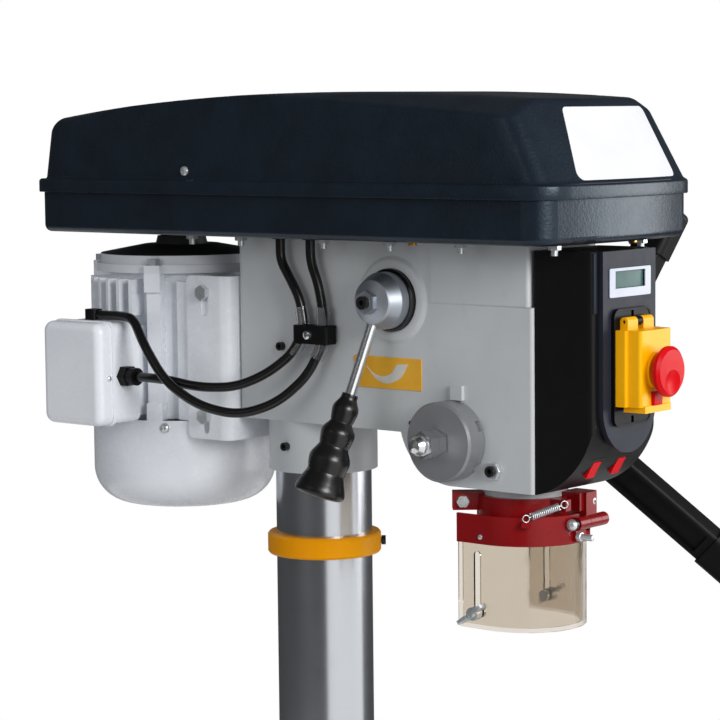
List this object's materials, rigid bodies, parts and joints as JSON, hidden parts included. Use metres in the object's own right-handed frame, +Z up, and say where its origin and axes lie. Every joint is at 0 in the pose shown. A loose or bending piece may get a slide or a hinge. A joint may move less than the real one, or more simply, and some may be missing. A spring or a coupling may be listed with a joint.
{
  "type": "pillar drill",
  "caption": "Bench pillar drill with a stepless belt drive: hinged belt cover, rear motor, speed lever, feed handle, switch panel, clear drill guard and tilting work table.",
  "frame": {"origin": "where the column axis meets the floor under the base", "axes": "+Z up along the column; -Y towards the operator, where the spindle and the panel are; +X to the operator's right"},
  "size_m": [0.4098, 0.695, 1.1051],
  "materials": {
    "head_paint": "light grey hammer paint",
    "cover_black": "blue-black grained",
    "motor_white": "white paint, satin",
    "ground_steel": "ground and oiled",
    "table_iron": "machined",
    "aluminium": "turned",
    "cap_grey": "grey paint",
    "yoke_steel": "sawn",
    "zinc": "bright zinc",
    "black_steel": "black oxide",
    "cable_rubber": "black, smooth",
    "black_plastic": "black",
    "panel_grey": "dark grey",
    "yellow_plastic": "yellow",
    "red_plastic": "red",
    "green_plastic": "green",
    "ring_yellow": "yellow paint",
    "guard_red": "red paint",
    "clear_plastic": "clear"
  },
  "bodies": {
    "frame": {"base": "head_paint", "column_foot": "head_paint", "column": "ground_steel", "rack_ring": "ring_yellow", "head_casting": "head_paint", "cap_screws": "black_steel", "hex_bolts": "zinc", "belt_tray": "cover_black", "cover_hinges": "zinc", "motor_body": "motor_white", "motor_end_shield": "motor_white", "motor_cowl": "motor_white", "motor_plate": "motor_white", "terminal_box": "motor_white", "terminal_cover": "motor_white", "cable_glands": "black_plastic", "motor_cable": "cable_rubber", "control_cable": "cable_rubber", "cable_clamp": "black_plastic", "drive_bearings": "ground_steel", "drive_belt": "cable_rubber", "spring_cap": "cap_grey", "return_spring": "ground_steel", "speed_collar": "cable_rubber", "front_housing": "black_plastic", "fascia": "panel_grey", "display_bezel": "aluminium", "switch_base": "black_plastic", "guard_ring": "guard_red"},
    "motor_shaft": {"motor_rotor": "ground_steel", "motor_pulley": "aluminium"},
    "spindle_pulley": {"spindle_pulley": "aluminium"},
    "sliding_sheave": {"sliding_sheave": "aluminium"},
    "shift_yoke": {"shift_yoke": "yoke_steel"},
    "quill": {"quill": "ground_steel", "spindle_bearings": "ground_steel"},
    "spindle": {"spindle": "ground_steel"},
    "feed": {"feed_shaft": "ground_steel", "feed_hub": "black_plastic", "feed_spokes": "black_plastic"},
    "depth_ring": {"depth_ring": "aluminium"},
    "speed_lever": {"speed_hub": "aluminium", "speed_rod": "aluminium", "speed_grip": "black_plastic"},
    "belt_cover": {"belt_cover": "cover_black"},
    "switch_lid": {"switch_lid": "yellow_plastic"},
    "stop_button": {"stop_button": "red_plastic"},
    "start_key": {"start_key": "green_plastic"},
    "rocker_left": {"rocker_left": "red_plastic"},
    "rocker_right": {"rocker_right": "red_plastic"},
    "guard": {"guard_holder": "guard_red", "guard_liner": "clear_plastic", "guard_wing_nuts": "zinc", "guard_spring": "zinc"},
    "guard_shield": {"guard_shield": "clear_plastic"},
    "table_rack": {"table_rack": "ground_steel"},
    "table_bracket": {"table_bracket": "head_paint"},
    "table": {"table": "table_iron"},
    "table_crank": {"table_crank": "black_steel"},
    "table_lock_lever": {"table_lock_lever": "black_steel"}
  },
  "joints": [
    {"name": "quill_slide", "type": "slide", "parent": "frame", "child": "quill", "axis": [0, 0, -1], "range_m": [0, 0.1], "stiffness_N_per_m": 200, "springref_m": -0.5},
    {"name": "spindle_spin", "type": "hinge", "parent": "quill", "child": "spindle", "pos_m": [0, -0.24, 0.8], "axis": [0, 0, 1], "continuous": true},
    {"name": "feed_turn", "type": "hinge", "parent": "frame", "child": "feed", "pos_m": [0, -0.198, 0.794], "axis": [1, 0, 0], "range_deg": [0, 358.2]},
    {"name": "depth_ring_turn", "type": "hinge", "parent": "feed", "child": "depth_ring", "pos_m": [0.07, -0.198, 0.794], "axis": [1, 0, 0], "range_deg": [-170, 170]},
    {"name": "motor_spin", "type": "hinge", "parent": "frame", "child": "motor_shaft", "pos_m": [0, 0.184, 0.9], "axis": [0, 0, 1], "continuous": true},
    {"name": "pulley_spin", "type": "hinge", "parent": "frame", "child": "spindle_pulley", "pos_m": [0, -0.24, 1], "axis": [0, 0, 1], "continuous": true},
    {"name": "yoke_shift", "type": "slide", "parent": "frame", "child": "shift_yoke", "axis": [0, 0, 1], "range_m": [0, 0.0045]},
    {"name": "sheave_shift", "type": "slide", "parent": "spindle_pulley", "child": "sliding_sheave", "axis": [0, 0, 1], "range_m": [0, 0.0045]},
    {"name": "speed_lever_turn", "type": "hinge", "parent": "frame", "child": "speed_lever", "pos_m": [-0.06, -0.13, 0.917], "axis": [-1, 0, 0], "range_deg": [0, 25.9]},
    {"name": "cover_swing", "type": "hinge", "parent": "frame", "child": "belt_cover", "pos_m": [0.1245, 0, 1.008], "axis": [0, 1, 0], "range_deg": [0, 85]},
    {"name": "switch_lid_swing", "type": "hinge", "parent": "frame", "child": "switch_lid", "pos_m": [0, -0.36, 0.905], "axis": [-1, 0, 0], "range_deg": [0, 95]},
    {"name": "stop_press", "type": "slide", "parent": "switch_lid", "child": "stop_button", "axis": [0, 1, 0], "range_m": [0, 0.004], "stiffness_N_per_m": 600, "springref_m": -0.004},
    {"name": "start_press", "type": "slide", "parent": "frame", "child": "start_key", "axis": [0, 1, 0], "range_m": [0, 0.003], "stiffness_N_per_m": 500, "springref_m": -0.003},
    {"name": "rocker_left_tip", "type": "hinge", "parent": "frame", "child": "rocker_left", "pos_m": [-0.019, -0.3265, 0.7745], "axis": [1, 0, 0], "range_deg": [0, 14]},
    {"name": "rocker_right_tip", "type": "hinge", "parent": "frame", "child": "rocker_right", "pos_m": [0.019, -0.3265, 0.7745], "axis": [1, 0, 0], "range_deg": [0, 14]},
    {"name": "guard_swing", "type": "hinge", "parent": "frame", "child": "guard", "pos_m": [0.016, -0.301, 0.722], "axis": [-1, 0, 0], "range_deg": [0, 80], "stiffness_Nm_per_rad": 0.35, "springref_deg": -68.75, "deforming": ["guard_spring"]},
    {"name": "guard_shield_slide", "type": "slide", "parent": "guard", "child": "guard_shield", "axis": [0, 0, -1], "range_m": [0, 0.052]},
    {"name": "table_swing", "type": "hinge", "parent": "frame", "child": "table_rack", "pos_m": [0, 0, 0.4], "axis": [0, 0, 1], "range_deg": [-90, 90]},
    {"name": "table_lift", "type": "slide", "parent": "table_rack", "child": "table_bracket", "axis": [0, 0, 1], "range_m": [-0.06, 0.2]},
    {"name": "table_tilt", "type": "hinge", "parent": "table_bracket", "child": "table", "pos_m": [0, -0.13, 0.268], "axis": [0, 1, 0], "range_deg": [-45, 45]},
    {"name": "table_crank_turn", "type": "hinge", "parent": "table_bracket", "child": "table_crank", "pos_m": [0.0355, 0.06149, 0.26881], "axis": [0.866, -0.5, 0], "range_deg": [-216, 718]},
    {"name": "table_lock_turn", "type": "hinge", "parent": "table_bracket", "child": "table_lock_lever", "pos_m": [-0.08, 0, 0.268], "axis": [0, 1, 0], "range_deg": [-40, 40]}
  ],
  "couplings": [
    {"joint": "feed_turn", "follows": "quill_slide", "rad_per_m": 62.5},
    {"joint": "spindle_spin", "follows": "motor_spin", "ratio": 0.54839},
    {"joint": "pulley_spin", "follows": "motor_spin", "ratio": 0.54839},
    {"joint": "sheave_shift", "follows": "yoke_shift", "ratio": 1},
    {"joint": "speed_lever_turn", "follows": "yoke_shift", "rad_per_m": 100},
    {"joint": "table_crank_turn", "follows": "table_lift", "rad_per_m": 62.5}
  ]
}
